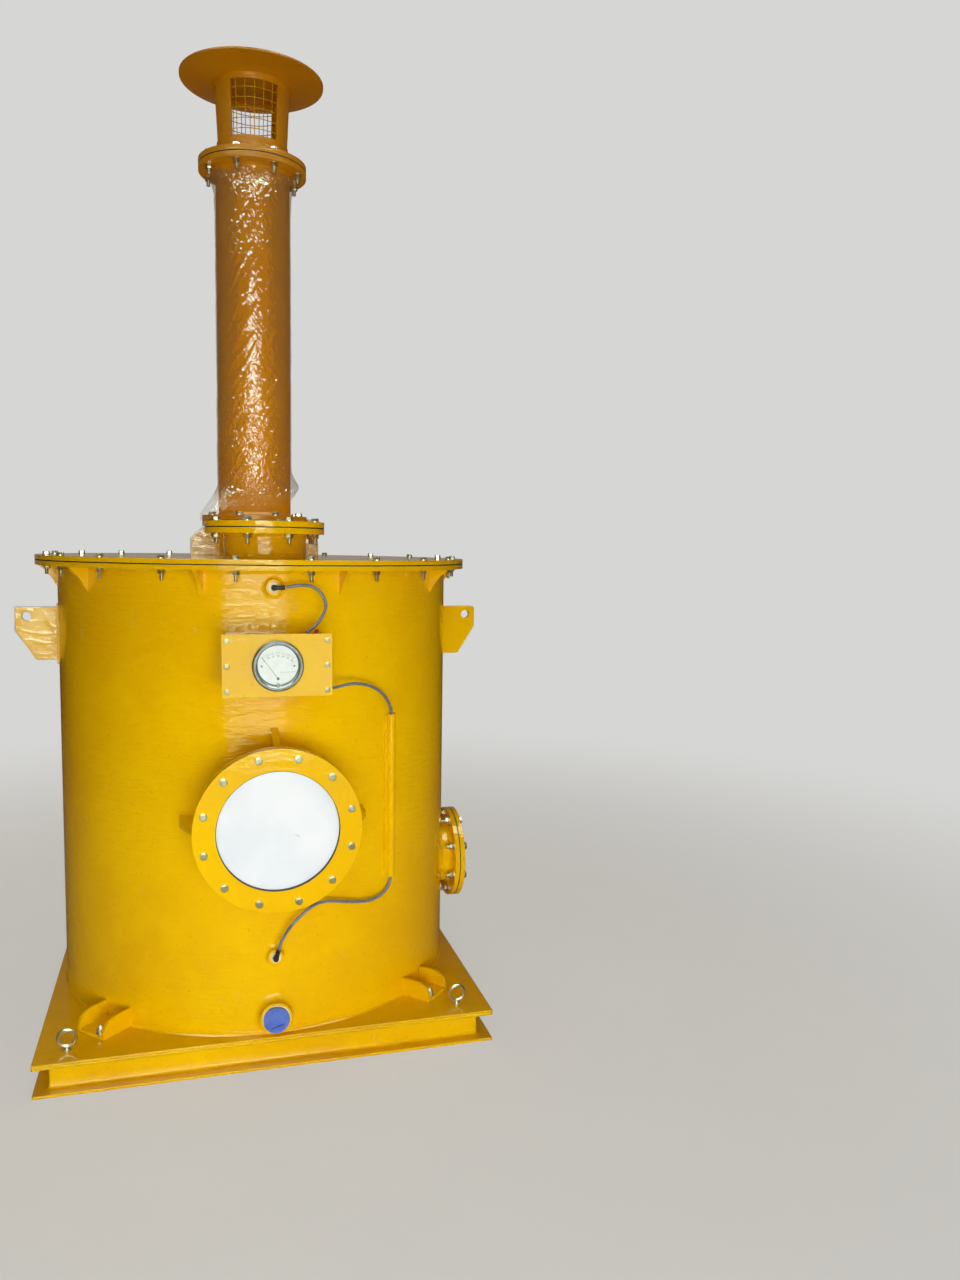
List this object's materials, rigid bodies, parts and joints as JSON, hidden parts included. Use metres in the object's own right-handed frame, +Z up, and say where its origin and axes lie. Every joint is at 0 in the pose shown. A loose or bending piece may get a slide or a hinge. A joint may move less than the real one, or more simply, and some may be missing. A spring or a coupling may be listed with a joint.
{
  "type": "dry scrubber",
  "caption": "Round glass-fibre dry scrubber vessel on a square base, with lid nozzles, capped exhaust stack, sight window, pressure gauge, drain and side inlet.",
  "frame": {"origin": "the vessel's axis where it meets the ground, which is the centre of the square base", "axes": "+Z up, front (sight window, gauge and drain) toward -Y, inlet nozzle toward +X"},
  "size_m": [1.35, 1.307, 2.7668],
  "materials": {
    "yellow_gelcoat": "glossy chrome-yellow gelcoat over hand-laid glass fibre",
    "base_paint": "glossy yellow topcoat on steel",
    "gasket_rubber": "black sheet rubber",
    "stretch_film": "clear wrapping film, creased",
    "window_pane": "pale translucent pane",
    "gauge_metal": "grey satin",
    "gauge_face": "white dial",
    "gauge_cover": "clear cover",
    "white_washer": "white plastic",
    "black_fitting": "black plastic",
    "grey_hose": "blue-grey soft plastic",
    "blue_plug": "blue plastic",
    "stainless": "bright stainless steel"
  },
  "bodies": {
    "root": {"base_channel_front": "base_paint", "base_channel_back": "base_paint", "base_channel_left": "base_paint", "base_channel_right": "base_paint", "base_plate": "base_paint", "tank_floor": "yellow_gelcoat", "tank_shell": "yellow_gelcoat", "shell_flange": "yellow_gelcoat", "flange_gussets": "yellow_gelcoat", "lid_gasket": "gasket_rubber", "lid": "yellow_gelcoat", "fill_nozzle": "yellow_gelcoat", "fill_gasket": "gasket_rubber", "fill_blind_flange": "yellow_gelcoat", "stack_nozzle": "yellow_gelcoat", "stack_gasket": "gasket_rubber", "stack_pipe": "yellow_gelcoat", "stack_flanges": "yellow_gelcoat", "stack_film": "stretch_film", "cowl_gasket": "gasket_rubber", "cowl_body": "yellow_gelcoat", "bird_screen": "yellow_gelcoat", "cowl_cap": "yellow_gelcoat", "sight_neck": "yellow_gelcoat", "sight_flange": "yellow_gelcoat", "sight_gussets": "yellow_gelcoat", "sight_gasket": "gasket_rubber", "sight_glass": "window_pane", "sight_cover_ring": "yellow_gelcoat", "gauge_box": "yellow_gelcoat", "gauge_panel": "yellow_gelcoat", "gauge_body": "gauge_metal", "gauge_dial": "gauge_face", "gauge_lens": "gauge_cover", "pressure_ports": "yellow_gelcoat", "port_washers": "white_washer", "hose_barbs": "black_fitting", "hose_upper": "grey_hose", "hose_lower": "grey_hose", "hose_conduit": "yellow_gelcoat", "drain_boss": "yellow_gelcoat", "drain_plug": "blue_plug", "inlet_nozzle": "yellow_gelcoat", "inlet_gasket": "gasket_rubber", "inlet_counter_flange": "yellow_gelcoat", "lifting_lugs": "yellow_gelcoat", "hold_down_brackets": "yellow_gelcoat", "eye_bolts": "stainless"}
  },
  "joints": []
}
